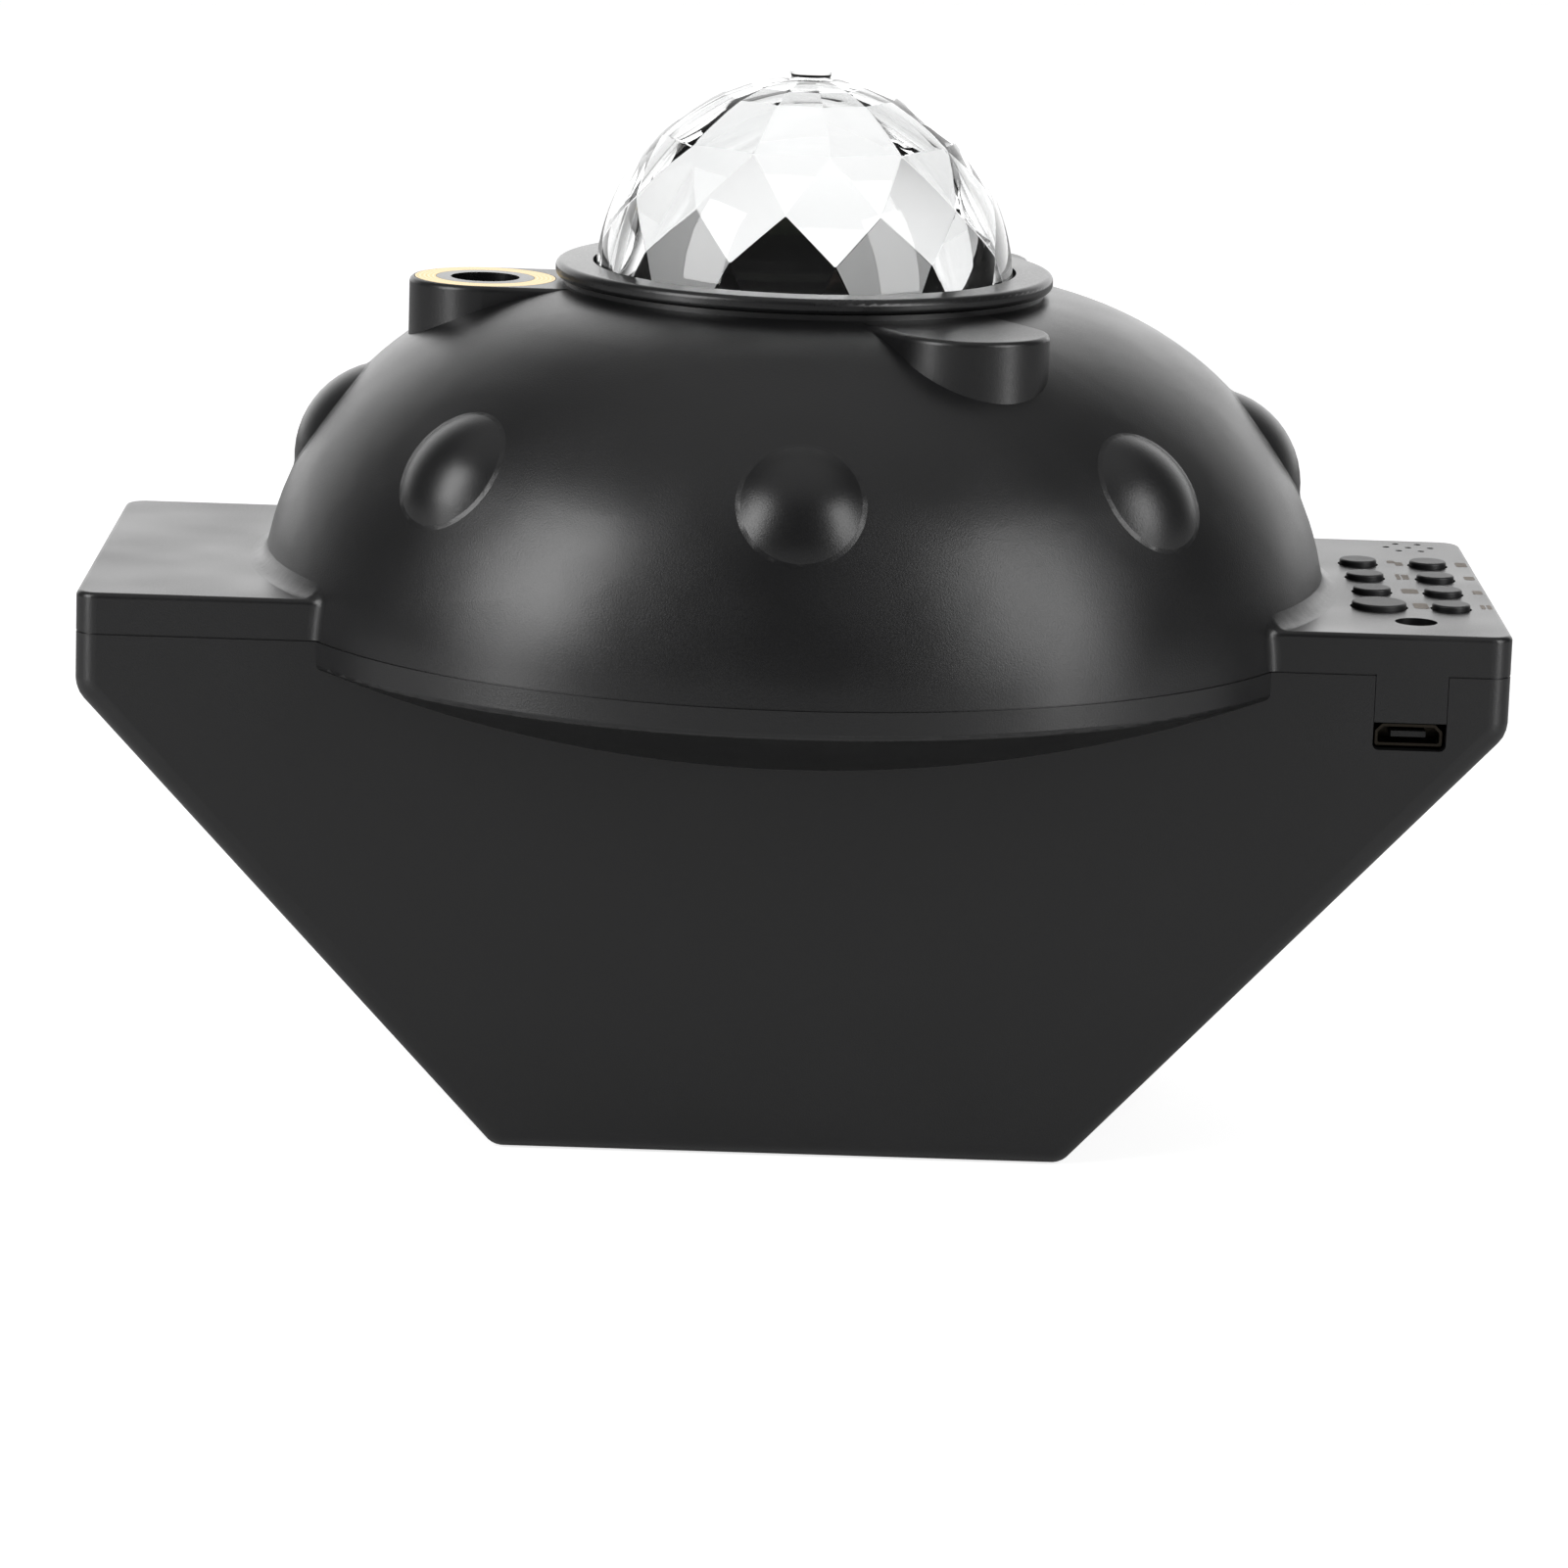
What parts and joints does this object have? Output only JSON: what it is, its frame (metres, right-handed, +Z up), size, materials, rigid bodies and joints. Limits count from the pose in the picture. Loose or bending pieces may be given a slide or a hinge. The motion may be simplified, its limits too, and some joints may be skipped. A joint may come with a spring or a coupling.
{
  "type": "projector lamp",
  "caption": "Table-top light projector: wedge stand with a saucer-shaped housing, turning faceted clear dome, laser port, speaker and a wing of push buttons.",
  "frame": {"origin": "middle of the flat foot that the lamp stands on", "axes": "+X along the wings towards the buttons, the socket side faces -Y, +Z up along the dome's axis"},
  "size_m": [0.16, 0.123, 0.1196],
  "materials": {
    "black_abs": "moulded, satin",
    "black_trim": "moulded, satin",
    "clear_acrylic": "clear, polished facets",
    "white_acetal": "moulded",
    "steel": "zinc plated",
    "circuit_board": "solder mask",
    "led_lens": "clear resin over phosphor",
    "aluminium_sink": "plain",
    "black_nylon": "moulded",
    "pale_gold": "satin plated",
    "brass_barrel": "turned",
    "lens_glass": "coated",
    "dark_window": "dark filter plastic",
    "plated_steel": "nickel plated sheet",
    "black_paint": "black paint",
    "paper_cone": "pressed paper",
    "ferrite": "ferrite and steel",
    "foam": "closed-cell foam",
    "button_plastic": "moulded, satin",
    "plunger_plastic": "moulded"
  },
  "bodies": {
    "housing": {"base_shell": "black_abs", "top_cover": "black_abs", "dome_bezel": "black_trim", "laser_sleeve": "black_trim", "drive_deck": "black_trim", "drive_motor": "steel", "cover_screws": "steel", "deck_screws": "steel", "motor_screws": "steel", "board_screws": "steel", "speaker_screws": "steel", "bluetooth_module": "steel", "led_board": "circuit_board", "control_board": "circuit_board", "laser_board": "circuit_board", "led_emitters": "led_lens", "heat_sink": "aluminium_sink", "microphone": "aluminium_sink", "tact_switches": "black_nylon", "usb_tongue": "black_nylon", "laser_trim_ring": "pale_gold", "laser_barrel": "brass_barrel", "laser_lens": "lens_glass", "ir_window": "dark_window", "ir_receiver": "dark_window", "usb_shell": "plated_steel", "speaker_frame": "black_paint", "speaker_cone": "paper_cone", "speaker_magnet": "ferrite", "speaker_gasket": "foam"},
    "dome": {"crystal_dome": "clear_acrylic", "dome_ring_gear": "white_acetal"},
    "pinion": {"drive_pinion": "white_acetal", "motor_shaft": "steel"},
    "power_button": {"button_power": "button_plastic", "plunger_power": "plunger_plastic"},
    "button_inner_1": {"button_inner_1": "button_plastic", "plunger_inner_1": "plunger_plastic"},
    "button_inner_2": {"button_inner_2": "button_plastic", "plunger_inner_2": "plunger_plastic"},
    "button_inner_3": {"button_inner_3": "button_plastic", "plunger_inner_3": "plunger_plastic"},
    "button_outer_1": {"button_outer_1": "button_plastic", "plunger_outer_1": "plunger_plastic"},
    "button_outer_2": {"button_outer_2": "button_plastic", "plunger_outer_2": "plunger_plastic"},
    "button_outer_3": {"button_outer_3": "button_plastic", "plunger_outer_3": "plunger_plastic"},
    "button_outer_4": {"button_outer_4": "button_plastic", "plunger_outer_4": "plunger_plastic"}
  },
  "joints": [
    {"name": "dome_spin", "type": "hinge", "parent": "housing", "child": "dome", "pos_m": [0, 0, 0.09], "axis": [0, 0, 1], "continuous": true},
    {"name": "pinion_spin", "type": "hinge", "parent": "housing", "child": "pinion", "pos_m": [0, 0.028, 0.0886], "axis": [0, 0, 1], "continuous": true},
    {"name": "power_button_press", "type": "slide", "parent": "housing", "child": "power_button", "axis": [0, 0, -1], "range_m": [0, 0.0004], "stiffness_N_per_m": 2000},
    {"name": "button_inner_1_press", "type": "slide", "parent": "housing", "child": "button_inner_1", "axis": [0, 0, -1], "range_m": [0, 0.0004], "stiffness_N_per_m": 2000},
    {"name": "button_inner_2_press", "type": "slide", "parent": "housing", "child": "button_inner_2", "axis": [0, 0, -1], "range_m": [0, 0.0004], "stiffness_N_per_m": 2000},
    {"name": "button_inner_3_press", "type": "slide", "parent": "housing", "child": "button_inner_3", "axis": [0, 0, -1], "range_m": [0, 0.0004], "stiffness_N_per_m": 2000},
    {"name": "button_outer_1_press", "type": "slide", "parent": "housing", "child": "button_outer_1", "axis": [0, 0, -1], "range_m": [0, 0.0004], "stiffness_N_per_m": 2000},
    {"name": "button_outer_2_press", "type": "slide", "parent": "housing", "child": "button_outer_2", "axis": [0, 0, -1], "range_m": [0, 0.0004], "stiffness_N_per_m": 2000},
    {"name": "button_outer_3_press", "type": "slide", "parent": "housing", "child": "button_outer_3", "axis": [0, 0, -1], "range_m": [0, 0.0004], "stiffness_N_per_m": 2000},
    {"name": "button_outer_4_press", "type": "slide", "parent": "housing", "child": "button_outer_4", "axis": [0, 0, -1], "range_m": [0, 0.0004], "stiffness_N_per_m": 2000}
  ],
  "couplings": [
    {"joint": "pinion_spin", "follows": "dome_spin", "ratio": -6}
  ]
}
